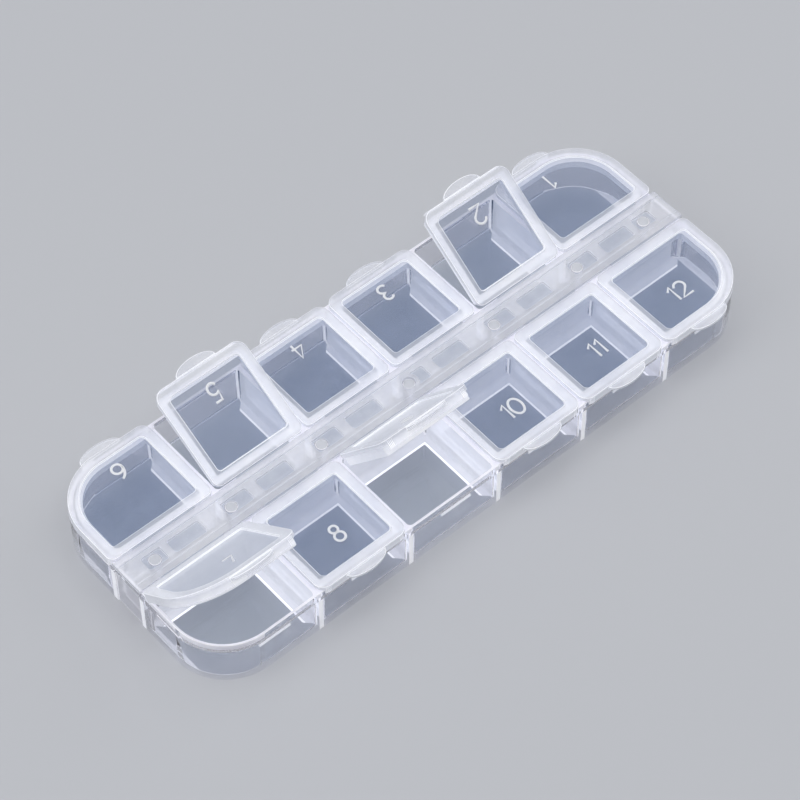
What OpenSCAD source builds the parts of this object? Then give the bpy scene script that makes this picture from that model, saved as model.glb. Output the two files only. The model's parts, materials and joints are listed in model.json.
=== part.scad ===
// Bead organizer with twelve compartments, each under its own hinged lid.
// A clear tray carries a centre strip. Six lids hang on each side of the strip by thin films.
// X runs along the tray, Z is up, and the origin is the middle of the tray's underside.

/* [Tray] */
// Length of the tray
tray_l = 130; // [120:1:160]
// Width of the tray
tray_w = 49.2; // [44:0.2:64]
// Height of the tray up to its rim
tray_h = 10.2; // [8:0.2:20]
// Radius of the tray's four corners in plan
corner_r = 11.5; // [9:0.5:13]
// Thickness of the outer wall
wall_t = 1; // [0.9:0.05:1.4]
// Thickness of the floor
floor_t = 1; // [0.8:0.1:2]
// Thickness of the partitions between neighbouring cells
partition_t = 1; // [0.6:0.1:1.4]
// Distance from one partition to the next
pitch = 20.75; // [19:0.25:22]
// Radius between the floor and the outer and spine walls of each cell
cell_bottom_r = 1; // [0.5:0.1:1.5]
// Radius between the floor and the partitions
partition_bottom_r = 0.5; // [0.3:0.05:0.8]
// Radius of the upright corners beside the partitions
cell_corner_r = 0.8; // [0.7:0.05:1.2]
// Radius of the upright corner between the spine and the end wall
end_corner_r = 2.4; // [2:0.1:3]
// Depth of the step in the outer face below the rim
rim_step = 0.5; // [0.45:0.05:0.6]
// Height of that step
rim_step_h = 1.3; // [1.1:0.1:1.6]
// Depth of the shallow groove in each end wall, outside the spine
end_groove = 0.25; // [0.1:0.05:0.4]

/* [Catches] */
// Length of the catch bead under each lid's lip
catch_l = 6.8; // [4:0.2:10]
// Radius of the catch bead
catch_r = 0.3; // [0.2:0.05:0.4]

/* [Strip] */
// Width of the centre strip
strip_w = 7.7; // [7:0.1:10]
// Thickness of the strip and of the lids' border
lid_t = 1; // [0.8:0.1:1.2]
// How far the strip lies on each wall of the spine
strip_seat = 0.4; // [0.3:0.05:0.6]
// Thickness of the two walls of the spine
spine_t = 1.2; // [1:0.1:1.6]
// Width of the sunk band along the strip
band_w = 5; // [4:0.2:6]
// Depth of the sunk band
band_depth = 0.15; // [0.1:0.05:0.25]
// Width of the row of pockets in the band
pocket_w = 3; // [2.4:0.1:3.6]
// Depth of the pockets
pocket_depth = 0.45; // [0.2:0.05:0.6]
// How far the pocket round a stake starts to the left of the stake
pocket_lead = 1.5; // [1.4:0.05:2]
// Length of the pocket round a stake
stake_pocket_l = 5.7; // [4:0.1:7]
// Length of the solid block to the right of that pocket
block_l = 2.3; // [1.5:0.1:3]
// Length of the plain pockets between the stakes
plain_pocket_l = 7; // [4:0.1:8]
// Length of the pockets round the two end stakes
end_pocket_l = 4.2; // [3.6:0.1:5]
// Diameter of the stakes that stand up through the strip
stake_d = 2.3; // [1.8:0.1:2.5]
// Diameter of the raised ring round the middle stake
ring_d = 4; // [3.6:0.1:4.4]
// Distance from the tray's end to the last stake
end_stake = 6.4; // [5:0.1:8]
// Clearance round a stake in its hole
stake_gap = 0.1; // [0.05:0.05:0.2]

/* [Hinges] */
// Width of the slit between the strip and a lid
slit_w = 0.4; // [0.4:0.05:0.6]
// Thickness of the hinge film
film_t = 0.2; // [0.1:0.05:0.2]
// Length of the film as a share of its lid's length
film_share = 0.6; // [0.4:0.05:0.8]
// Clearance between a film and its lid
film_gap = 0.06; // [0.05:0.01:0.1]
// Depth of the hinge axis below the top of the lids
hinge_drop = 0.12; // [0.1:0.01:0.15]

/* [Lids] */
// Width of the raised border round the window
border_w = 2.1; // [1.9:0.1:3]
// Width of the border beside the hinge
hinge_border_w = 2.3; // [2:0.1:3]
// Depth of the window below the border
window_depth = 0.3; // [0.1:0.05:0.5]
// Height of the skirt that reaches into the cell
skirt_h = 1.8; // [1:0.1:2.5]
// Thickness of the skirt
skirt_t = 1.1; // [0.8:0.1:1.3]
// Clearance between the skirt and the walls of the cell
skirt_gap = 0.35; // [0.3:0.05:0.5]
// Extra clearance in front of the skirt, for its swing
swing_gap = 0.12; // [0.1:0.01:0.2]
// Half of the gap between neighbouring lids
lid_gap = 0.3; // [0.2:0.05:0.4]
// How far the lids stay inside the tray's outer face
lid_inset = 0.05; // [0.05:0.01:0.1]
// Height of the lip that hangs down over the rim
lip_h = 0.9; // [0.6:0.1:1]
// Thickness of that lip
lip_t = 0.35; // [0.2:0.05:0.4]
// Radius of a lid's corners at its front edge
front_r = 2.2; // [2:0.1:3]
// Radius of a lid's corners at its hinge
hinge_r = 1.5; // [1.3:0.1:2]
// Width of the finger tab
tab_w = 8.8; // [6:0.2:12]
// How far the tab stands out past the lid
tab_out = 1.85; // [1:0.05:2.5]
// Thickness of the tab
tab_t = 0.65; // [0.4:0.05:0.7]
// Depth of the tab's top face below the lid's top
tab_drop = 0.25; // [0.15:0.05:0.3]

/* [Lids as they stand, in degrees from closed] */
// Opening of lid 2
lid_2_open = 35.5; // [0:0.5:100]
// Opening of lid 5
lid_5_open = 29; // [0:0.5:100]
// Opening of lid 7
lid_7_open = 42; // [0:0.5:100]
// Opening of lid 9
lid_9_open = 53; // [0:0.5:100]

/* [Hidden] */
$fn = 64;
COLUMNS = 6;
LIDS = 2 * COLUMNS;
ANGLES = [0, lid_2_open, 0, 0, lid_5_open, 0, lid_7_open, 0, lid_9_open, 0, 0, 0];
CUT = 1;
TAB_STEPS = 24;
FAR_PARTITION = COLUMNS / 2 - 1;

spine_in = strip_w / 2 - strip_seat;
spine_out = spine_in + spine_t;
lid_hinge_y = strip_w / 2 + slit_w;
hinge_y = strip_w / 2 + slit_w / 2;
lid_top = tray_h + lid_t;
hinge_z = lid_top - hinge_drop;
end_stake_x = tray_l / 2 - end_stake;
stake_top = lid_top - band_depth - pocket_depth;

// Where the stakes stand: one at each partition and one near each end
PARTITION_X = [for (k = [-FAR_PARTITION : FAR_PARTITION]) k * pitch];
STAKE_X = concat([-end_stake_x], PARTITION_X, [end_stake_x]);

clear_plastic = [0.86, 0.88, 0.92, 0.45];
milky_plastic = [0.84, 0.86, 0.91, 0.8];

function two_digits(n) = n < 10 ? str("0", n) : str(n);
function lid_name(n) = str("lid_", two_digits(n));
function hinge_name(n) = str("hinge_", two_digits(n));

// Lids 1 to 6 run along the back from right to left, and 7 to 12 along the front from left to right
function is_back(n) = n <= COLUMNS;
function column_of(n) = is_back(n) ? COLUMNS - n : n - COLUMNS - 1;

// Where the boundary to the left of a column lies: a partition's middle, or the tray's end
function edge_x(i) =
    i == 0 ? -tray_l / 2 :
    i == COLUMNS ? tray_l / 2 :
    (i - COLUMNS / 2) * pitch;
function left_wall(i) = i == 0 ? wall_t : partition_t / 2;
function right_wall(i) = left_wall(COLUMNS - 1 - i);
function left_gap(i) = i == 0 ? lid_inset : lid_gap;
function right_gap(i) = left_gap(COLUMNS - 1 - i);
function lid_x0(i) = edge_x(i) + left_gap(i);
function lid_x1(i) = edge_x(i + 1) - right_gap(i);
// The middle of a column's finger tab, catch and pitch
function tab_x(i) = (i - COLUMNS / 2 + 1 / 2) * pitch;
// A corner radius after its outline is drawn in by a distance
function drawn_in(r, inset) = r - min(inset, r / 2);

// A flat shape from x0 to x1 and y0 to y1, with one corner radius after another, anticlockwise
// from the corner at x0 and y0
module rounded_sheet(x0, x1, y0, y1, r) {
    polygon([
        [x0 + r[0], y0], [x1 - r[1], y0], [x1, y0 + r[1]], [x1, y1 - r[2]],
        [x1 - r[2], y1], [x0 + r[3], y1], [x0, y1 - r[3]], [x0, y0 + r[0]]
    ]);
    translate([x0 + r[0], y0 + r[0]]) circle(r = r[0]);
    translate([x1 - r[1], y0 + r[1]]) circle(r = r[1]);
    translate([x1 - r[2], y1 - r[2]]) circle(r = r[2]);
    translate([x0 + r[3], y1 - r[3]]) circle(r = r[3]);
}

// The outline of the tray, drawn in by a distance
module tray_plan(inset) {
    x = tray_l / 2 - inset;
    y = tray_w / 2 - inset;
    r = corner_r - inset;
    rounded_sheet(-x, x, -y, y, [r, r, r, r]);
}

// The outline of one back-row cell, drawn in by a distance, with more room at the front if asked
module cell_plan(i, inset, front_extra = 0) {
    front = wall_t + inset + front_extra;
    r = drawn_in(cell_corner_r, inset);
    end_r = drawn_in(end_corner_r, inset);
    intersection() {
        rounded_sheet(
            edge_x(i) + left_wall(i) + inset,
            edge_x(i + 1) - right_wall(i) - inset,
            spine_out + inset,
            tray_w / 2 - front,
            [i == 0 ? end_r : r, i == COLUMNS - 1 ? end_r : r, r, r]
        );
        tray_plan(front);
    }
}

// The outline of one back-row lid, drawn in by a distance, and by more beside the hinge if asked
module lid_plan(i, inset, hinge_inset) {
    near = drawn_in(hinge_r, inset);
    far = drawn_in(front_r, inset);
    intersection() {
        rounded_sheet(
            lid_x0(i) + inset,
            lid_x1(i) - inset,
            lid_hinge_y + hinge_inset,
            tray_w / 2 - lid_inset - inset,
            [near, near, far, far]
        );
        tray_plan(lid_inset + inset);
    }
}

// Half an ellipse on its long axis, a little longer at its root so that it joins the lid
module tab_plan() {
    polygon(concat(
        [[tab_w / 2, -border_w / 2]],
        [for (k = [0 : TAB_STEPS])
            [tab_w / 2 * cos(180 * k / TAB_STEPS), tab_out * sin(180 * k / TAB_STEPS)]],
        [[-tab_w / 2, -border_w / 2]]
    ));
}

// A bar along X with a flat profile drawn in the YZ plane
module along_x(x0, x1) {
    translate([x0, 0, 0]) rotate([90, 0, 90]) linear_extrude(x1 - x0) children();
}

// A bar along Y with a flat profile drawn in the XZ plane
module along_y(y0, y1) {
    translate([0, y1, 0]) rotate([90, 0, 0]) linear_extrude(y1 - y0) children();
}

// Calls its children once for the back row and once, mirrored, for the front row
module both_rows() {
    children();
    mirror([0, 1, 0]) children();
}

// The room inside one back-row cell, rounded along the floor and up its corners
module cell_room(i) {
    x0 = edge_x(i) + left_wall(i);
    x1 = edge_x(i + 1) - right_wall(i);
    y0 = spine_out;
    y1 = tray_w / 2 - wall_t;
    top = tray_h + CUT + cell_bottom_r;
    wall_r = cell_bottom_r;
    left_r = i == 0 ? wall_r : partition_bottom_r;
    right_r = i == COLUMNS - 1 ? wall_r : partition_bottom_r;
    intersection() {
        linear_extrude(top) cell_plan(i, 0);
        along_x(x0 - CUT, x1 + CUT)
            rounded_sheet(y0, y1, floor_t, top, [wall_r, wall_r, wall_r, wall_r]);
        along_y(y0 - CUT, y1 + CUT)
            rounded_sheet(x0, x1, floor_t, top, [left_r, right_r, right_r, left_r]);
    }
}

// The step under the rim, which the lids' lips hang down into
module rim_cut() {
    translate([0, 0, tray_h - rim_step_h]) linear_extrude(rim_step_h + CUT)
        difference() {
            tray_plan(-CUT);
            tray_plan(rim_step);
        }
}

// The long hollow between the two walls of the spine, and the shallow groove at each end of it
module spine_cuts() {
    hollow_x = tray_l / 2 - wall_t;
    translate([-hollow_x, -spine_in, floor_t]) cube([2 * hollow_x, 2 * spine_in, tray_h]);
    for (side = [-1, 1])
        translate([side * (tray_l / 2 + CUT - end_groove) - CUT, -spine_in, -CUT])
            cube([2 * CUT, 2 * spine_in, tray_h + 2 * CUT]);
}

module tray() {
    color(clear_plastic) {
        difference() {
            linear_extrude(tray_h) tray_plan(0);
            both_rows() for (i = [0 : COLUMNS - 1]) cell_room(i);
            spine_cuts();
            rim_cut();
        }
        for (x = STAKE_X) translate([x, 0, floor_t / 2])
            cylinder(d = stake_d, h = stake_top - floor_t / 2);
        both_rows() for (i = [0 : COLUMNS - 1]) catch_bead(i);
    }
}

// A round bead on the outer wall, just below the step and under its lid's finger tab
module catch_bead(i) {
    translate([tab_x(i) - catch_l / 2, tray_w / 2, tray_h - rim_step_h - catch_r])
        rotate([0, 90, 0]) cylinder(r = catch_r, h = catch_l);
}

// A pocket sunk in the strip
module pocket(x0, long) {
    r = pocket_w / 6;
    translate([0, 0, stake_top]) linear_extrude(lid_t)
        rounded_sheet(x0, x0 + long, -pocket_w / 2, pocket_w / 2, [r, r, r, r]);
}

// The pocket round each stake and the plain pockets between them
module strip_pockets() {
    plain_lead = stake_pocket_l - pocket_lead + block_l;
    for (x = PARTITION_X) pocket(x - pocket_lead, stake_pocket_l);
    for (x = PARTITION_X) pocket(x + plain_lead, plain_pocket_l);
    pocket(PARTITION_X[0] - plain_lead - plain_pocket_l, plain_pocket_l);
    for (side = [-1, 1]) pocket(side * end_stake_x - end_pocket_l / 2, end_pocket_l);
}

module centre_strip() {
    end_x = tray_l / 2 - lid_inset;
    color(milky_plastic)
    difference() {
        union() {
            difference() {
                translate([-end_x, -strip_w / 2, tray_h]) cube([2 * end_x, strip_w, lid_t]);
                translate([-end_x - CUT, -band_w / 2, lid_top - band_depth])
                    cube([2 * (end_x + CUT), band_w, lid_t]);
                strip_pockets();
            }
            translate([0, 0, tray_h]) cylinder(d = ring_d, h = lid_t - band_depth);
        }
        for (x = STAKE_X) translate([x, 0, tray_h - CUT])
            cylinder(d = stake_d + 2 * stake_gap, h = lid_t + 2 * CUT);
    }
}

// The film of a back-row lid, from the strip's edge to just short of the lid's edge
module film(i) {
    long = film_share * (lid_x1(i) - lid_x0(i));
    middle = (lid_x0(i) + lid_x1(i)) / 2;
    translate([middle - long / 2, strip_w / 2, hinge_z - film_t / 2])
        cube([long, slit_w - film_gap, film_t]);
}

module hinge(n) {
    color(milky_plastic)
    mirror([0, is_back(n) ? 0 : 1, 0]) film(column_of(n));
}

// One closed back-row lid: a border round a sunk window, a skirt, a lip and a finger tab
module closed_lid(i) {
    window_z = lid_top - window_depth;
    difference() {
        union() {
            translate([0, 0, tray_h]) linear_extrude(lid_t) lid_plan(i, 0, 0);
            translate([0, 0, tray_h - skirt_h]) linear_extrude(skirt_h + lid_t / 2)
                difference() {
                    cell_plan(i, skirt_gap, swing_gap);
                    cell_plan(i, skirt_gap + skirt_t, swing_gap);
                }
            lip(i);
            tab(i);
        }
        translate([0, 0, window_z]) linear_extrude(lid_t) lid_plan(i, border_w, hinge_border_w);
    }
}

// The lip over the front wall and round the tray's corner
module lip(i) {
    translate([0, 0, tray_h - lip_h]) linear_extrude(lip_h + lid_t / 2)
        difference() {
            lid_plan(i, 0, 0);
            tray_plan(lid_inset + lip_t);
        }
}

module tab(i) {
    translate([tab_x(i), tray_w / 2 - lid_inset, lid_top - tab_drop - tab_t])
        linear_extrude(tab_t) tab_plan();
}

// A lid of either row, turned about its film by its own angle
module lid(n) {
    color(milky_plastic)
    mirror([0, is_back(n) ? 0 : 1, 0])
        translate([0, hinge_y, hinge_z]) rotate([ANGLES[n - 1], 0, 0])
            translate([0, -hinge_y, -hinge_z]) closed_lid(column_of(n));
}

tray();
centre_strip();
for (n = [1 : LIDS]) hinge(n);
for (n = [1 : LIDS]) lid(n);
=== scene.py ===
import json
import math

import bmesh
import bpy
from mathutils import Matrix, Vector


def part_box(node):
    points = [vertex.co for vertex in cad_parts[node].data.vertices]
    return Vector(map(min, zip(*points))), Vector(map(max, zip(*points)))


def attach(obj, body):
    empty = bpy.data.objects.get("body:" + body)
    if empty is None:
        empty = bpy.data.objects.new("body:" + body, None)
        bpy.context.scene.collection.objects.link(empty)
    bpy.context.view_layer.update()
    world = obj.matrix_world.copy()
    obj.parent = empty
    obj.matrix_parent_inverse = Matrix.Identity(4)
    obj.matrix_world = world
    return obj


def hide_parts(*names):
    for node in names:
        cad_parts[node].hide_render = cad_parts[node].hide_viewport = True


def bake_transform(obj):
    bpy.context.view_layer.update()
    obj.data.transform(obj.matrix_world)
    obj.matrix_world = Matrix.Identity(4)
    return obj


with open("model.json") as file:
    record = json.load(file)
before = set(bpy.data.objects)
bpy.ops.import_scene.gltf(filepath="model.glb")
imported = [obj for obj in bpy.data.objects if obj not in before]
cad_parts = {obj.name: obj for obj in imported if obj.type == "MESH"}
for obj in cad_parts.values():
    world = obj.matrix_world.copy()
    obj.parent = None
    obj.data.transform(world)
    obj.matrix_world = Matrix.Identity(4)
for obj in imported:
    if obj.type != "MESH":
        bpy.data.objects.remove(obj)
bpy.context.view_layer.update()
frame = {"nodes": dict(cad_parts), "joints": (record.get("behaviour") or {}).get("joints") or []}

MM = 0.001

# The photographed view, with the picture's side and the focal length in pixels, and the width of
# the camera's sensor in millimetres
CAMERA_AZIMUTH = -40.109
CAMERA_ELEVATION = 53.292
CAMERA_ROLL = -0.741
CAMERA_DISTANCE = 566.449 * MM
CAMERA_TARGET = Vector((1.439, 4.320, 0)) * MM
PICTURE_SIDE = 800
FOCAL_PIXELS = 3052.43
SENSOR = 36
NEAREST_SEEN = 10 * MM
FARTHEST_SEEN = 20

# Soft boxes: name, azimuth and elevation in degrees, distance and side, and power in watts
LAMPS = [
    ("overhead", 0, 88, 1.1, 1.2, 6.0),
    ("left", -110, 40, 1.0, 0.7, 2.0),
    ("right", 80, 35, 1.0, 0.7, 1.6),
]

# The studio round the tray: how bright it is as a light and where it is seen, and its floor
ROOM_COLOUR = (0.95, 0.97, 1.0, 1)
ROOM_LIGHT = 0.4
ROOM_SEEN = 0.8
FLOOR_COLOUR = (0.52, 0.53, 0.56, 1)
FLOOR_ROUGH = 0.7
FLOOR_HALF = 3
FLOOR_DROP = 0.05 * MM

# How often light may bend in the clear plastic, and pass through it straight
BENDS = 24
STRAIGHT_PASSES = 32

# The main sizes, from the frame
TRAY_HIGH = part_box("tray")[1]
STRIP_LOW, STRIP_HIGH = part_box("centre_strip")
JOINTS = {joint["child"]: joint for joint in frame["joints"]}
LIDS = sorted(JOINTS)
ROW = len(LIDS) // 2

# The tray's walls: the pitch of the cells, the partitions to each side of the middle one, how far
# out the walls of the spine and the outer wall stand, and how far in the end walls reach
PITCH = 20.75 * MM
LAST_PARTITION = ROW // 2 - 1
WALL = 1.0 * MM
SPINE_IN = 3.45 * MM
SPINE_OUT = 4.65 * MM
CELL_MIDDLE = 14.1 * MM
OUTER_FROM = 24.0 * MM
BEAD_FROM = 24.62 * MM
END_WALL = 2.0 * MM

# The tray's levels, and how far the top of its walls keeps clear of the closed lids
CELL_FLOOR = 1.0 * MM
FILLET_TOP = 2.0 * MM
BEAD_LOW = 8.3 * MM
TRAY_TOP = 10.2 * MM
RIM_STEP = 1.3 * MM
REST_GAP = 0.03 * MM

# Reaches along X from the middle of a partition: its end in the outer wall, the rounded corners
# beside it, and the foot on the cell's floor
END_REACH = 0.2 * MM
CORNER_REACH = 2.0 * MM
FOOT_REACH = 2.5 * MM

# The painted lit band and painted highlight line at the foot of the spine's walls and of the
# partitions, and how far out they run
FOOT_WIDE = 0.85 * MM
FOOT_LINE = 0.4 * MM
FOOT_SPINE = 7.2 * MM
FOOT_TO = 22.4 * MM

# The strip, its films and the lids. At its middle a film has a share of its full thickness
POCKET_DROP = 0.6 * MM
POCKET_WIDE = 1.5 * MM
SLIT = 0.4 * MM
FILM_THICK = 0.2 * MM
FILM_THINNEST = 0.5
FILM_STEPS = 8
WINDOW_DROP = 0.3 * MM
PANE_INSET = 1.4 * MM
LIP_BOTTOM = 9.3 * MM

# The rounds on the edges, in size, in facets and in the degrees past which an edge gets one
TRAY_ROUND = 0.12 * MM
LID_ROUND = 0.12 * MM
STRIP_ROUND = 0.1 * MM
ROUND_FACETS = 2
ROUNDED_PAST = 35

# An edge is shaded as a hard one past these degrees, and faces within these are one flat face
HARD_PAST = 60
FLAT_WITHIN = 0.4

# Points closer than these are one point, or lie on one level, and limits have this much slack
WELD = 0.002 * MM
SAME_LEVEL = 0.04 * MM
SLACK = 0.01 * MM

# How much of a face's normal lies along an axis: exactly flat, square to it, level and upright
# faces, and the facets of an upright round corner between two walls
FLAT = 0.9999
SQUARE = 0.99
LEVEL = 0.9
UPRIGHT = 0.1
CORNER_FACETS = (0.5, 0.87)

# The tray's finishes, in the order of its materials. The side, glint, round, rim and partition-end
# finishes are painted light and highlights on the clear plastic
CLEAR, PAINTED_LIGHT_SIDE, GLINT, ROUND_HIGHLIGHT, RIM_HIGHLIGHT, STAKE, PARTITION_END_HIGHLIGHT, UNDERSIDE, HAZE, FLOOR = range(10)
# The strip's finishes, in the order of its materials
STRIP, POCKET, STRIP_EDGE = range(3)
# The lids' finishes, in the order of their materials. The line finish on their rounds and window
# steps is a painted highlight
BORDER, WINDOW, LID_HIGHLIGHT, SKIRT = range(4)

# How coarse the clouds, swirls and specks in the plastic are
CLOUDS = 9 * MM
CLEAR_CLOUDS = 12 * MM
SWIRLS = 2.2 * MM
SPECKS = 0.35 * MM

# How they show: in how much the plastic hides, in its gloss, and as ripples
HAZE_SHOWN = 0.06
GLOSS_SHOWN = 0.08
CLEAR_GLOSS_SHOWN = 0.03
RIPPLE_DEEP = 0.03 * MM
RIPPLE_STRENGTH = 0.12

# How the plastic bends light, the pale colour that it turns to aslant, which is partly its milky body
# seen thicker there and partly a painted sheen, and how much of the lamps' light the clear kind lets
# through
BENDING = 1.49
PALE_AND_SHEEN_ASLANT = (0.84, 0.86, 0.92)
THROUGH_CLEAR = 0.9

# The numbers: how high and thick their strokes are, how far they stand up, and their middles on
# the two rows of lids. A stroke whose ends are this near, in heights, is a closed ring
NUMBER_HEIGHT = 4.0 * MM
NUMBER_STROKE = 0.5 * MM
NUMBER_RAISED = 0.12 * MM
FRONT_NUMBER_Y = -16.7 * MM
BACK_NUMBER_Y = 18.8 * MM
CLOSED_STROKE = 0.01


# Shader sums


class Value:
    """A socket of a material. Sums and products of values add their Math nodes."""

    def __init__(self, tree, socket):
        self.tree = tree
        self.socket = socket

    def node(self, kind, settings=None, sockets=None, output=0):
        """Adds a node: first its settings, then the values or links of its sockets."""
        added = self.tree.nodes.new(kind)
        for name, setting in (settings or {}).items():
            setattr(added, name, setting)
        for name, given in (sockets or {}).items():
            if isinstance(given, Value):
                self.tree.links.new(given.socket, added.inputs[name])
            else:
                added.inputs[name].default_value = given
        return Value(self.tree, added.outputs[output])

    def maths(self, operation, first, second):
        return self.node("ShaderNodeMath", {"operation": operation}, {0: first, 1: second})

    def __add__(self, other):
        return self.maths("ADD", self, other)

    def __radd__(self, other):
        return self.maths("ADD", other, self)

    def __sub__(self, other):
        return self.maths("SUBTRACT", self, other)

    def __rsub__(self, other):
        return self.maths("SUBTRACT", other, self)

    def __mul__(self, other):
        return self.maths("MULTIPLY", self, other)

    def __rmul__(self, other):
        return self.maths("MULTIPLY", other, self)

    def largest(self, other):
        return self.maths("MAXIMUM", self, other)

    def step(self, start, end):
        """0 before start and 1 past end, with a smooth rise between them."""
        settings = {"interpolation_type": "SMOOTHSTEP"}
        return self.node("ShaderNodeMapRange", settings, {0: self, 1: start, 2: end, 3: 0.0, 4: 1.0})

    def tint(self, dark, light):
        """The colour between dark and light at this value. Either may be a colour or a link."""
        ends = [end if isinstance(end, Value) else end + (1,) for end in (dark, light)]
        return self.node("ShaderNodeMix", {"data_type": "RGBA"}, {0: self, 6: ends[0], 7: ends[1]}, 2)

    def grain(self, size, detail):
        """Noise whose grains are about size across."""
        return self.node("ShaderNodeTexNoise", None, {"Vector": self, "Scale": 1 / size, "Detail": detail})


class Finish:
    """A material with one Principled shader, and the values that its textures start from."""

    def __init__(self, name):
        self.material = bpy.data.materials.new(name)
        self.material.use_nodes = True
        self.tree = self.material.node_tree
        self.shader = next(n for n in self.tree.nodes if n.type == "BSDF_PRINCIPLED")
        self.start = Value(self.tree, None)
        self.place = self.start.node("ShaderNodeTexCoord", output="Object")
        self.glance = self.start.node("ShaderNodeLayerWeight", None, {"Blend": 0.5}, "Facing")

    def set(self, **sockets):
        for name, given in sockets.items():
            socket = self.shader.inputs[name.replace("_", " ")]
            if isinstance(given, Value):
                self.tree.links.new(given.socket, socket)
            else:
                socket.default_value = given

    def let_light_through(self, share):
        """Lets that share of the lamps' light pass straight, so that the plastic's shadow is pale."""
        shadow = self.start.node("ShaderNodeLightPath", output="Is Shadow Ray") * share
        solid = Value(self.tree, self.shader.outputs[0])
        open_way = self.start.node("ShaderNodeBsdfTransparent")
        mixed = self.start.node("ShaderNodeMixShader", None, {0: shadow, 1: solid, 2: open_way})
        out = next(n for n in self.tree.nodes if n.type == "OUTPUT_MATERIAL")
        self.tree.links.new(mixed.socket, out.inputs["Surface"])

    def bump(self, height, distance, strength):
        sockets = {"Height": height, "Distance": distance, "Strength": strength}
        self.set(Normal=height.node("ShaderNodeBump", None, sockets))


# Finishes


def plastic(name, dark, light, cover, glancing, rough, painted_glow=0.0, through=0.0):
    """Moulded plastic that shows what is behind it.

    dark and light are the ends of its clouds. cover is how much it hides face on, and glancing
    how much it hides aslant. Its glow is painted light, which the plastic gives off though it is no
    lamp, and through is the share of the lamps' light that passes it.
    """
    finish = Finish(name)
    clouds = finish.place.grain(CLOUDS, 3.0)
    swirls = finish.place.grain(SWIRLS, 2.0)
    specks = finish.place.grain(SPECKS, 1.0)
    haze = clouds * 0.6 + swirls * 0.4
    aslant = finish.glance.step(0.3, 0.95)
    body = haze.step(0.3, 0.7).tint(dark, light)
    colour = aslant.tint(body, PALE_AND_SHEEN_ASLANT)
    finish.set(
        Base_Color=colour,
        Alpha=cover + (glancing - cover) * aslant + (haze - 0.5) * HAZE_SHOWN,
        Roughness=rough + (swirls - 0.5) * GLOSS_SHOWN + specks.step(0.62, 0.75) * GLOSS_SHOWN,
        IOR=BENDING,
        Emission_Color=colour,
        Emission_Strength=painted_glow,
    )
    finish.bump(swirls + specks * 0.1, RIPPLE_DEEP, RIPPLE_STRENGTH)
    if through:
        finish.let_light_through(through)
    return finish.material


def glass(name, colour, rough):
    """Clear hard plastic that bends light."""
    finish = Finish(name)
    clouds = finish.place.grain(CLEAR_CLOUDS, 2.0)
    swirls = finish.place.grain(SWIRLS, 2.0)
    clearer = tuple(level + 0.02 for level in colour)
    finish.set(
        Base_Color=clouds.step(0.3, 0.7).tint(colour, clearer),
        Roughness=rough + (swirls - 0.5) * CLEAR_GLOSS_SHOWN,
        IOR=BENDING,
        Transmission_Weight=1.0,
    )
    finish.let_light_through(THROUGH_CLEAR)
    return finish.material


def lid_border():
    return plastic(
        "milky_border", dark=(0.78, 0.80, 0.88), light=(0.90, 0.91, 0.96),
        cover=0.36, glancing=0.92, rough=0.22, through=0.5,
    )


# Painted highlight: the lids' rounded edges and window steps, near white and with a painted glow
def lid_edge():
    return plastic(
        "milky_edge_highlight", dark=(0.88, 0.90, 0.96), light=(0.95, 0.96, 0.99),
        cover=0.85, glancing=1.0, rough=0.2, painted_glow=0.15,
    )


def lid_window():
    return plastic(
        "milky_window", dark=(0.13, 0.20, 0.37), light=(0.19, 0.26, 0.44),
        cover=0.26, glancing=0.85, rough=0.16, through=0.6,
    )


# The skirt is milky white of its own, and its glow is painted light
def lid_skirt():
    return plastic(
        "milky_skirt", dark=(0.88, 0.89, 0.95), light=(0.97, 0.97, 0.99),
        cover=0.85, glancing=0.9, rough=0.22, painted_glow=0.15, through=0.5,
    )


def strip_pocket():
    return plastic(
        "milky_pocket", dark=(0.49, 0.53, 0.63), light=(0.57, 0.61, 0.70),
        cover=0.6, glancing=0.9, rough=0.25,
    )


def strip_edge():
    return plastic(
        "milky_strip_edge", dark=(0.72, 0.75, 0.83), light=(0.82, 0.84, 0.91),
        cover=0.55, glancing=0.92, rough=0.25,
    )


def number_white():
    return plastic(
        "raised_number", dark=(0.88, 0.89, 0.94), light=(0.94, 0.95, 0.98),
        cover=0.9, glancing=1.0, rough=0.3,
    )


def tray_clear():
    return glass("clear_styrene", colour=(0.88, 0.88, 0.92), rough=0.03)


def tray_floor():
    return glass("clear_cell_floor", colour=(0.68, 0.75, 0.86), rough=0.03)


# Painted light: the cells' walls, their feet and the catch beads, clear plastic painted pale and given a
# painted glow to look lit
def tray_partition():
    return plastic(
        "clear_side_painted_light", dark=(0.78, 0.80, 0.88), light=(0.86, 0.87, 0.93),
        cover=0.62, glancing=0.7, rough=0.12, painted_glow=0.32, through=0.7,
    )


# Painted highlight: bright lines along the foot of the walls and up the cells' corners, with a painted
# glow
def tray_glint():
    return plastic(
        "clear_glint", dark=(0.93, 0.93, 0.97), light=(0.98, 0.98, 1.0),
        cover=0.9, glancing=0.95, rough=0.1, painted_glow=0.5, through=0.5,
    )


# Painted highlight: the tray's rounded edges painted near white, with a painted glow
def tray_edge():
    return plastic(
        "clear_round_highlight", dark=(0.85, 0.85, 0.91), light=(0.97, 0.96, 0.99),
        cover=0.8, glancing=0.97, rough=0.08, painted_glow=0.25, through=0.5,
    )


# Painted highlight: a bright band on the top of the tray's walls and on the rim's step, with a painted
# glow
def tray_rim():
    return plastic(
        "clear_rim_highlight", dark=(0.82, 0.81, 0.91), light=(0.89, 0.88, 0.96),
        cover=0.86, glancing=0.94, rough=0.1, painted_glow=0.18, through=0.5,
    )


def tray_stake():
    return plastic(
        "clear_stake", dark=(0.72, 0.74, 0.81), light=(0.82, 0.84, 0.90),
        cover=0.7, glancing=0.95, rough=0.15,
    )


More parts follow.
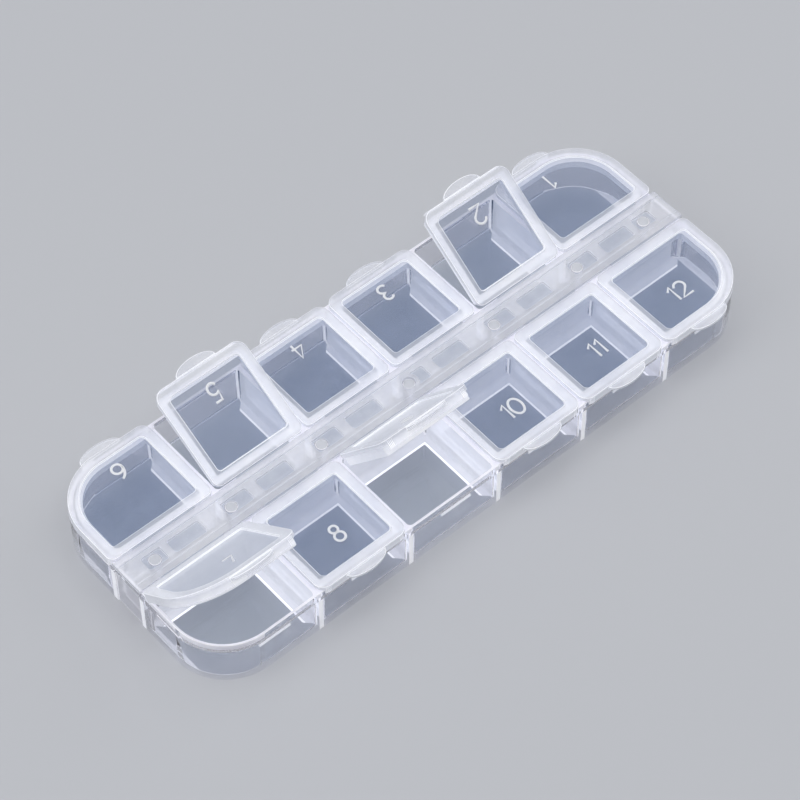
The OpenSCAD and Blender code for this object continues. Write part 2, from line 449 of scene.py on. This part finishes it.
# Painted highlight: bright strips on the outer wall where the partitions and the spine's walls end, with a
# painted glow
def tray_partition_end():
    return plastic(
        "clear_wall_end_highlight", dark=(0.92, 0.92, 0.95), light=(0.98, 0.97, 0.98),
        cover=0.88, glancing=0.95, rough=0.1, painted_glow=0.3,
    )


def tray_underside():
    return plastic(
        "clear_underside", dark=(0.80, 0.80, 0.84), light=(0.88, 0.88, 0.91),
        cover=0.06, glancing=0.12, rough=0.1, through=0.9,
    )


def tray_haze():
    return plastic(
        "clear_haze", dark=(0.62, 0.58, 0.74), light=(0.72, 0.68, 0.82),
        cover=0.45, glancing=0.6, rough=0.12, through=0.5,
    )


# Mesh helpers


def near(a, b):
    return abs(a - b) < SAME_LEVEL


def merged_copy(node, cut_first=None):
    """A copy of a node's mesh with its triangles joined into whole flat faces, but not over seams."""
    shape = bmesh.new()
    shape.from_mesh(frame["nodes"][node].data)
    bmesh.ops.remove_doubles(shape, verts=shape.verts, dist=WELD)
    if cut_first:
        cut_first(shape)
    bmesh.ops.dissolve_limit(
        shape, angle_limit=math.radians(FLAT_WITHIN), verts=shape.verts, edges=shape.edges,
        delimit={"SEAM"},
    )
    return shape


def cut(shape, faces, axis, place):
    """Cuts flat faces across an axis at a place on it, with a seam that keeps them apart."""
    geom = dict.fromkeys(part for face in faces for part in (face, *face.edges, *face.verts))
    along = Vector((1 - axis, axis, 0))
    made = bmesh.ops.bisect_plane(shape, geom=list(geom), plane_co=along * place, plane_no=along)
    for part in made["geom_cut"]:
        if isinstance(part, bmesh.types.BMEdge):
            part.seam = True


def soften(shape, width, material, kept=None):
    """Rounds every sharp edge but the kept ones, and gives the rounds a material of their own."""
    edges = [
        edge for edge in shape.edges
        if edge.is_manifold and edge.calc_face_angle() > math.radians(ROUNDED_PAST)
        and not (kept and all(kept(vert.co) for vert in edge.verts))
    ]
    made = bmesh.ops.bevel(
        shape, geom=edges, offset=width, offset_type="OFFSET", affect="EDGES",
        segments=ROUND_FACETS, profile=0.5, material=-1, clamp_overlap=False,
    )
    for face in made["faces"]:
        face.material_index = material


def new_object(name, shape, materials):
    """An object at the origin with a bmesh as its mesh."""
    mesh = bpy.data.meshes.new(name)
    shape.to_mesh(mesh)
    shape.free()
    for material in materials:
        mesh.materials.append(material)
    made = bpy.data.objects.new(name, mesh)
    bpy.context.scene.collection.objects.link(made)
    return made


def finished(shape, name, materials, node, body):
    """Makes a bmesh a piece of the scene that stands for a node and rides on a body."""
    shape.normal_update()
    for face in shape.faces:
        face.smooth = True
    for edge in shape.edges:
        edge.smooth = not edge.is_manifold or edge.calc_face_angle() < math.radians(HARD_PAST)
    piece = new_object(name, shape, materials)
    normals = piece.modifiers.new("even_normals", "WEIGHTED_NORMAL")
    normals.keep_sharp = True
    if node:
        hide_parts(node)
    if body:
        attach(piece, body)
    return piece


def swing(joint, degrees):
    """The turn of a lid about its hinge."""
    pivot = Matrix.Translation(joint["pos_m"])
    return pivot @ Matrix.Rotation(math.radians(degrees), 4, Vector(joint["axis"])) @ pivot.inverted()


def open_angle(joint):
    """How far a lid stands open in the photograph."""
    return -joint["range_deg"][0]


# Tray


def cut_top(shape):
    """Cuts the top of the walls at the middle of each cell, so that none of its faces rings a cell."""
    middles = [(0, (k + 0.5) * PITCH) for k in range(-ROW // 2, ROW // 2)]
    middles += [(1, side * CELL_MIDDLE) for side in (-1, 0, 1)]
    for axis, place in middles:
        faces = [
            face for face in shape.faces
            if face.normal.z > FLAT and near(face.calc_center_median().z, TRAY_TOP)
        ]
        cut(shape, faces, axis, place)


def cut_side(shape, axis, place):
    """Cuts the outer faces that lie along an axis, for a face of another finish."""
    across = 1 - axis
    outer = (TRAY_HIGH.x, TRAY_HIGH.y)[across] - WALL
    faces = [
        face for face in shape.faces
        if abs(face.normal[across]) > SQUARE and abs(face.verts[0].co[across]) > outer
    ]
    cut(shape, faces, axis, place)


def cut_at_walls(shape):
    """Marks off where the partitions and the spine's walls meet the outer wall."""
    for k in range(-LAST_PARTITION, LAST_PARTITION + 1):
        for side in (-1, 1):
            cut_side(shape, 0, k * PITCH + side * WALL / 2)
    for side in (-1, 1):
        cut_side(shape, 1, side * SPINE_OUT)


def from_partition(place):
    """How far a place is along X from the middle of the nearest partition of its row."""
    column = min(max(round(place.x / PITCH), -LAST_PARTITION), LAST_PARTITION)
    return abs(place.x - column * PITCH)


def is_cell_floor(face):
    middle = face.calc_center_median()
    return face.normal.z > FLAT and near(middle.z, CELL_FLOOR) and abs(middle.y) > SPINE_OUT


def cell_zone(face, middle):
    """Which finish a face inside a cell has, or None for the rest of the tray's finishes."""
    normal = face.normal
    if UPRIGHT < normal.z < FLAT and middle.z < FILLET_TOP:
        return PAINTED_LIGHT_SIDE if abs(middle.y) < FOOT_TO else FLOOR
    is_corner = abs(normal.z) < UPRIGHT and CORNER_FACETS[0] < abs(normal.x) < CORNER_FACETS[1]
    if is_corner and from_partition(middle) < CORNER_REACH:
        return GLINT
    if is_cell_floor(face):
        return FLOOR
    if abs(normal.x) > SQUARE and abs(middle.x) < TRAY_HIGH.x - END_WALL:
        return PAINTED_LIGHT_SIDE
    return None


def outside_zone(face, middle):
    """Which finish a face of the spine's walls or of the outer sides has. The rest is clear."""
    normal = face.normal
    out = abs(middle.y)
    if abs(normal.y) > SQUARE:
        if near(out, SPINE_OUT):
            return PAINTED_LIGHT_SIDE
        if out > OUTER_FROM and from_partition(middle) < END_REACH:
            return PARTITION_END_HIGHLIGHT
    if abs(normal.x) > SQUARE and abs(middle.x) > TRAY_HIGH.x - WALL / 2:
        if SPINE_IN < out < SPINE_OUT:
            return PARTITION_END_HIGHLIGHT
        if out < SPINE_IN:
            return HAZE
    return CLEAR


def tray_zone(face):
    """Which finish a face of the tray has, going by where it is and how it faces."""
    middle = face.calc_center_median()
    normal = face.normal
    out = abs(middle.y)
    if normal.z > LEVEL and near(middle.z, TRAY_TOP):
        return RIM_HIGHLIGHT
    if abs(normal.z) < UPRIGHT and near(middle.z, TRAY_TOP - RIM_STEP / 2):
        return RIM_HIGHLIGHT
    if out > BEAD_FROM:
        return PAINTED_LIGHT_SIDE
    if normal.z < -LEVEL and near(middle.z, 0):
        return UNDERSIDE
    if normal.z > LEVEL and near(middle.z, STRIP_HIGH.z - POCKET_DROP) and out < POCKET_WIDE:
        return STAKE
    zone = cell_zone(face, middle) if SPINE_OUT - SLACK < out < OUTER_FROM else None
    return outside_zone(face, middle) if zone is None else zone


def mark_floors(shape):
    """Paints light on the floor at the foot of the spine's walls and of the partitions: a lit band with a
    highlight line in it.
    """
    floors = [face for face in shape.faces if is_cell_floor(face)]
    for width, finish in ((FOOT_WIDE, PAINTED_LIGHT_SIDE), (FOOT_LINE, GLINT)):
        bands = bmesh.ops.inset_individual(shape, faces=floors, thickness=width, use_even_offset=True)
        for face in bands["faces"]:
            middle = face.calc_center_median()
            by_spine = abs(middle.y) < FOOT_SPINE
            by_partition = from_partition(middle) < FOOT_REACH and abs(middle.y) < FOOT_TO
            face.material_index = finish if by_spine or by_partition else FLOOR


def on_step_or_bead(place):
    """True on the rim's step and on the catch beads below it, which are too fine to round."""
    step = TRAY_TOP - RIM_STEP
    on_bead = abs(place.y) > OUTER_FROM and BEAD_LOW - SLACK < place.z < step + SLACK
    return near(place.z, step) or on_bead


def make_tray():
    shape = merged_copy("tray", cut_top)
    cut_at_walls(shape)
    for face in shape.faces:
        face.material_index = tray_zone(face)
    mark_floors(shape)
    for vert in shape.verts:
        if near(vert.co.z, TRAY_TOP):
            vert.co.z -= REST_GAP
    soften(shape, TRAY_ROUND, ROUND_HIGHLIGHT, on_step_or_bead)
    materials = [
        tray_clear(), tray_partition(), tray_glint(), tray_edge(), tray_rim(), tray_stake(),
        tray_partition_end(), tray_underside(), tray_haze(), tray_floor(),
    ]
    finished(shape, "tray_moulding", materials, "tray", "base")


# Strip


def make_strip(border, pocket):
    shape = merged_copy("centre_strip")
    for face in shape.faces:
        level = face.calc_center_median().z
        in_pocket = face.normal.z > LEVEL and near(level, STRIP_HIGH.z - POCKET_DROP)
        face.material_index = POCKET if in_pocket else STRIP
    soften(shape, STRIP_ROUND, STRIP_EDGE)
    materials = [border, pocket, strip_edge()]
    finished(shape, "strip_moulding", materials, "centre_strip", "base")


# Hinges


def ease(share):
    """0 to 1 with a slow start and end, as the bend of a film runs."""
    share = min(max(share, 0), 1)
    return share * share * (3 - 2 * share)


def flat_film(long):
    """A film that thins to its middle, as wide as the slit and in steps that can bend."""
    shape = bmesh.new()
    bmesh.ops.create_cube(shape, size=1)
    bmesh.ops.scale(shape, vec=(long, SLIT, FILM_THICK), verts=shape.verts)
    for k in range(1, FILM_STEPS):
        step = (0, SLIT * (k / FILM_STEPS - 0.5), 0)
        geom = shape.verts[:] + shape.edges[:] + shape.faces[:]
        bmesh.ops.bisect_plane(shape, geom=geom, plane_co=step, plane_no=(0, 1, 0))
    for vert in shape.verts:
        away = abs(vert.co.y) / (SLIT / 2)
        vert.co.z *= FILM_THINNEST + (1 - FILM_THINNEST) * away * away
    return shape


def make_film(lid, number, pocket):
    """A film hinge, bent as far as its lid stands open."""
    joint = JOINTS[lid]
    side = math.copysign(1, joint["pos_m"][1])
    low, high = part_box(f"hinge_{number:02d}")
    inner = STRIP_HIGH.y
    middle = Vector(((low.x + high.x) / 2, side * (inner + SLIT / 2), (low.z + high.z) / 2))
    shape = flat_film(high.x - low.x)
    bmesh.ops.translate(shape, vec=middle, verts=shape.verts)
    for vert in shape.verts:
        share = (abs(vert.co.y) - inner) / SLIT
        vert.co = swing(joint, ease(share) * open_angle(joint)) @ vert.co
    bmesh.ops.recalc_face_normals(shape, faces=shape.faces)
    name = f"film_{number:02d}"
    piece = finished(shape, name, [pocket], f"hinge_{number:02d}", None)
    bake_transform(piece)


# Lids


def lid_zone(face, low, high):
    """Which finish a face of a closed lid has, from the lid's lowest and highest corner."""
    level = face.calc_center_median().z
    inside = all(
        low.x + PANE_INSET < v.co.x < high.x - PANE_INSET
        and low.y + PANE_INSET < v.co.y < high.y - PANE_INSET
        for v in face.verts
    )
    if inside and abs(face.normal.z) > LEVEL:
        if near(level, STRIP_HIGH.z - WINDOW_DROP) or near(level, STRIP_LOW.z):
            return WINDOW
    if inside and near(level, STRIP_HIGH.z - WINDOW_DROP / 2):
        return LID_HIGHLIGHT
    if level < TRAY_TOP - SLACK:
        return SKIRT
    return BORDER


def on_lip_bottom(place):
    return near(place.z, LIP_BOTTOM)


def make_lid(lid, number, materials):
    """A lid, closed while its faces get their finish and its edges their rounds, then opened again."""
    joint = JOINTS[lid]
    shape = merged_copy(lid)
    shape.transform(swing(joint, -open_angle(joint)))
    shape.normal_update()
    low = Vector(min(v.co[axis] for v in shape.verts) for axis in range(3))
    high = Vector(max(v.co[axis] for v in shape.verts) for axis in range(3))
    for face in shape.faces:
        face.material_index = lid_zone(face, low, high)
    soften(shape, LID_ROUND, LID_HIGHLIGHT, on_lip_bottom)
    shape.transform(swing(joint, open_angle(joint)))
    finished(shape, f"lid_moulding_{number:02d}", materials, lid, lid)


# Numbers


def arc(x, y, across, high, start, end, steps=14):
    """Points along a stretch of an ellipse, from one angle to another in degrees."""
    turns = [math.radians(start + (end - start) * k / steps) for k in range(steps + 1)]
    return [(x + across * math.cos(t), y + high * math.sin(t)) for t in turns]


def ring(x, y, across, high):
    return arc(x, y, across, high, 90, 450, 28)


# The width and the strokes of each numeral, in a box one unit high
NUMERALS = {
    "0": (0.72, [ring(0.36, 0.5, 0.31, 0.46)]),
    "1": (0.40, [[(0.06, 0.74), (0.28, 0.95), (0.28, 0.05)]]),
    "2": (0.70, [arc(0.34, 0.68, 0.28, 0.27, 165, -38) + [(0.06, 0.05), (0.66, 0.05)]]),
    "3": (0.60, [arc(0.28, 0.73, 0.22, 0.22, 150, -90) + arc(0.28, 0.28, 0.25, 0.23, 90, -150)]),
    "4": (0.64, [[(0.45, 0.05), (0.45, 0.95), (0.04, 0.30), (0.60, 0.30)]]),
    "5": (0.60, [[(0.52, 0.95), (0.16, 0.95), (0.10, 0.52)] + arc(0.28, 0.33, 0.26, 0.28, 130, -150)]),
    "6": (0.62, [ring(0.31, 0.31, 0.26, 0.26), arc(0.63, 0.31, 0.58, 0.64, 180, 112)]),
    "7": (0.58, [[(0.04, 0.95), (0.54, 0.95), (0.20, 0.05)]]),
    "8": (0.60, [ring(0.30, 0.74, 0.20, 0.20), ring(0.30, 0.29, 0.25, 0.25)]),
    "9": (0.62, [ring(0.31, 0.69, 0.26, 0.26), arc(-0.01, 0.69, 0.58, 0.64, 0, -68)]),
}


def stroke_mesh(points):
    """One stroke of a numeral as a round bead, as a mesh."""
    curve = bpy.data.curves.new("stroke", "CURVE")
    curve.dimensions = "3D"
    curve.bevel_depth = NUMBER_STROKE / 2
    curve.bevel_resolution = 3
    curve.use_fill_caps = True
    spline = curve.splines.new("POLY")
    closed = math.dist(points[0], points[-1]) < CLOSED_STROKE
    if closed:
        points = points[:-1]
    spline.points.add(len(points) - 1)
    for point, (x, y) in zip(spline.points, points):
        point.co = (x * NUMBER_HEIGHT, y * NUMBER_HEIGHT, 0, 1)
    spline.use_cyclic_u = closed
    carrier = bpy.data.objects.new("stroke", curve)
    bpy.context.scene.collection.objects.link(carrier)
    bpy.context.view_layer.update()
    mesh = bpy.data.meshes.new_from_object(carrier.evaluated_get(bpy.context.evaluated_depsgraph_get()))
    bpy.data.objects.remove(carrier)
    return mesh


def number_shape(number):
    """The strokes of a number, flattened and with the origin at its middle."""
    shape = bmesh.new()
    numerals = [NUMERALS[character] for character in str(number)]
    left = -sum(width for width, strokes in numerals) / 2
    for width, strokes in numerals:
        for points in strokes:
            mesh = stroke_mesh([(x + left, y - 0.5) for x, y in points])
            shape.from_mesh(mesh)
            bpy.data.meshes.remove(mesh)
        left += width
    for vert in shape.verts:
        vert.co.z *= NUMBER_RAISED / (NUMBER_STROKE / 2)
    return shape


def number_place(joint, number):
    """Where a number lies on its closed lid. In both rows its top is towards the strip."""
    back = joint["pos_m"][1] > 0
    column = ROW - number if back else number - ROW - 1
    x = (column - ROW / 2 + 0.5) * PITCH
    y = BACK_NUMBER_Y if back else FRONT_NUMBER_Y
    turn = math.pi if back else 0
    level = STRIP_HIGH.z - WINDOW_DROP
    return Matrix.Translation((x, y, level)) @ Matrix.Rotation(turn, 4, "Z")


def make_number(lid, number, white):
    joint = JOINTS[lid]
    shape = number_shape(number)
    shape.transform(swing(joint, open_angle(joint)) @ number_place(joint, number))
    finished(shape, f"number_{number:02d}", [white], None, lid)


# Studio


def make_floor():
    shape = bmesh.new()
    bmesh.ops.create_grid(shape, x_segments=1, y_segments=1, size=FLOOR_HALF)
    bmesh.ops.translate(shape, vec=(0, 0, -FLOOR_DROP), verts=shape.verts)
    finish = Finish("pale_floor")
    finish.set(Base_Color=FLOOR_COLOUR, Roughness=FLOOR_ROUGH)
    floor = new_object("floor", shape, [finish.material])


def make_world():
    """A pale room that is brighter where it is seen, mirrored or seen through than as a light."""
    world = bpy.data.worlds.new("studio")
    world.use_nodes = True
    tree = world.node_tree
    background = next(n for n in tree.nodes if n.type == "BACKGROUND")
    start = Value(tree, None)
    seen = start.node("ShaderNodeLightPath", output="Is Camera Ray")
    glossy = start.node("ShaderNodeLightPath", output="Is Glossy Ray")
    through = start.node("ShaderNodeLightPath", output="Is Transmission Ray")
    shown = seen.largest(glossy).largest(through)
    strength = ROOM_LIGHT + shown * (ROOM_SEEN - ROOM_LIGHT)
    background.inputs["Color"].default_value = ROOM_COLOUR
    tree.links.new(strength.socket, background.inputs["Strength"])
    bpy.context.scene.world = world


def direction(azimuth, elevation):
    """The way from the tray to a place that looks back at it. At azimuth 0 it looks along +Y."""
    turn, rise = math.radians(azimuth), math.radians(elevation)
    return Vector((math.sin(turn) * math.cos(rise), -math.cos(turn) * math.cos(rise), math.sin(rise)))


def make_lamp(name, azimuth, elevation, distance, side, power):
    """A square soft box that faces the tray."""
    light = bpy.data.lights.new(name, "AREA")
    light.shape = "SQUARE"
    light.size = side
    light.energy = power
    lamp = bpy.data.objects.new(name, light)
    back = direction(azimuth, elevation)
    lamp.location = back * distance
    lamp.rotation_mode = "QUATERNION"
    lamp.rotation_quaternion = (-back).to_track_quat("-Z", "Y")
    bpy.context.scene.collection.objects.link(lamp)


def make_camera():
    back = direction(CAMERA_AZIMUTH, CAMERA_ELEVATION)
    right = (-back).cross(Vector((0, 0, 1))).normalized()
    up = right.cross(-back)
    roll = math.radians(CAMERA_ROLL)
    turned_right = right * math.cos(roll) + up * math.sin(roll)
    turned_up = up * math.cos(roll) - right * math.sin(roll)
    data = bpy.data.cameras.new("camera")
    data.sensor_width = SENSOR
    data.lens = FOCAL_PIXELS * SENSOR / PICTURE_SIDE
    data.clip_start = NEAREST_SEEN
    data.clip_end = FARTHEST_SEEN
    camera = bpy.data.objects.new("camera", data)
    matrix = Matrix((turned_right, turned_up, back)).transposed().to_4x4()
    matrix.translation = CAMERA_TARGET + back * CAMERA_DISTANCE
    camera.matrix_world = matrix
    bpy.context.scene.collection.objects.link(camera)
    bpy.context.scene.camera = camera


def make_studio():
    make_camera()
    make_world()
    make_floor()
    for lamp in LAMPS:
        make_lamp(*lamp)
    scene = bpy.context.scene
    scene.view_settings.view_transform = "Standard"
    scene.cycles.transparent_max_bounces = STRAIGHT_PASSES
    scene.cycles.max_bounces = BENDS
    scene.cycles.transmission_bounces = BENDS


def make_organizer():
    border = lid_border()
    lid_materials = [border, lid_window(), lid_edge(), lid_skirt()]
    pocket = strip_pocket()
    white = number_white()
    make_tray()
    make_strip(border, pocket)
    for number, lid in enumerate(LIDS, start=1):
        make_film(lid, number, pocket)
        make_lid(lid, number, lid_materials)
        make_number(lid, number, white)


make_studio()
make_organizer()
